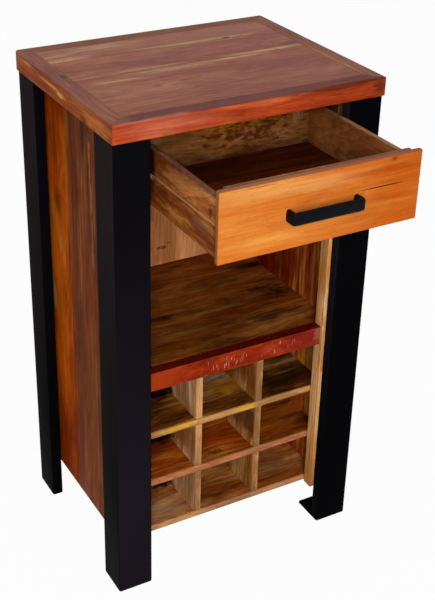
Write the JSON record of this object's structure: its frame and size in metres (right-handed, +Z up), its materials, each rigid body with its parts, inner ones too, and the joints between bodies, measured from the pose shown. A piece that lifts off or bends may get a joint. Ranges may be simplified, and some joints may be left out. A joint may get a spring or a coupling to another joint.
{
  "type": "wine cabinet",
  "caption": "Tall narrow wooden wine cabinet on black steel corner legs, with a pulled-out drawer, an open shelf and a grid rack for bottles.",
  "frame": {"origin": "on the floor, under the centre of the box round the whole cabinet with its drawer open as stored", "axes": "+Z up, +Y towards the back, +X to the right as seen from the front; the drawer opens towards -Y"},
  "size_m": [0.492, 0.6084, 0.9],
  "materials": {
    "top_wood": "reddish brown reclaimed wood with pale sapwood streaks, satin lacquer",
    "front_edging_wood": "red-orange stained wood, satin lacquer",
    "edging_wood": "orange-brown wood, satin lacquer",
    "black_steel": "satin black powder coat",
    "screw_steel": "zinc-plated steel",
    "stile_wood": "light tan wood, satin lacquer",
    "side_wood": "brown, deep orange and dark red wood, satin lacquer",
    "back_wood": "light tan boards",
    "inner_wood": "plain unfinished wood",
    "shelf_wood": "dark olive-brown wood with knots, satin lacquer",
    "red_painted_wood": "worn dark red paint over wood",
    "rack_wood": "tan and brown wood with traces of old paint",
    "drawer_face_wood": "bright orange figured wood, satin lacquer",
    "drawer_wood": "orange-brown wood"
  },
  "bodies": {
    "cabinet": {"back_board_left": "back_wood", "back_board_middle": "back_wood", "back_board_right": "back_wood", "drawer_runner_left": "inner_wood", "drawer_runner_right": "inner_wood", "foot_plate_front_left": "black_steel", "foot_plate_front_right": "black_steel", "foot_plate_rear_left": "black_steel", "foot_plate_rear_right": "black_steel", "leg_front_left": "black_steel", "leg_front_right": "black_steel", "leg_rear_left": "black_steel", "leg_rear_right": "black_steel", "leg_screw_front_left_lower": "screw_steel", "leg_screw_front_left_upper": "screw_steel", "leg_screw_front_right_lower": "screw_steel", "leg_screw_front_right_upper": "screw_steel", "leg_screw_rear_left_lower": "screw_steel", "leg_screw_rear_left_upper": "screw_steel", "leg_screw_rear_right_lower": "screw_steel", "leg_screw_rear_right_upper": "screw_steel", "rack_bottom": "rack_wood", "rack_divider_left": "rack_wood", "rack_divider_right": "rack_wood", "rack_row_lower": "rack_wood", "rack_row_upper": "rack_wood", "rail_screw_left": "screw_steel", "rail_screw_right": "screw_steel", "shelf_board": "shelf_wood", "shelf_rail": "red_painted_wood", "side_plank_left_front": "side_wood", "side_plank_left_rear": "side_wood", "side_plank_right_front": "side_wood", "side_plank_right_rear": "side_wood", "stile_front_left": "stile_wood", "stile_front_right": "stile_wood", "stile_rear_left": "stile_wood", "stile_rear_right": "stile_wood", "top_cleat_left": "inner_wood", "top_cleat_right": "inner_wood", "top_edging_front": "front_edging_wood", "top_edging_left": "edging_wood", "top_edging_rear": "edging_wood", "top_edging_right": "edging_wood", "top_plank_front": "top_wood", "top_plank_middle": "top_wood", "top_plank_rear": "top_wood", "top_rail_front": "inner_wood", "top_rail_rear": "inner_wood"},
    "drawer": {"drawer_back": "drawer_wood", "drawer_face": "drawer_face_wood", "drawer_floor": "drawer_wood", "drawer_inner_front": "drawer_wood", "drawer_side_left": "drawer_wood", "drawer_side_right": "drawer_wood", "handle": "black_steel", "handle_screw_left": "screw_steel", "handle_screw_right": "screw_steel"}
  },
  "joints": [
    {"name": "drawer_slide", "type": "slide", "parent": "cabinet", "child": "drawer", "axis": [0, -1, 0], "range_m": [-0.2085, 0.03]}
  ]
}
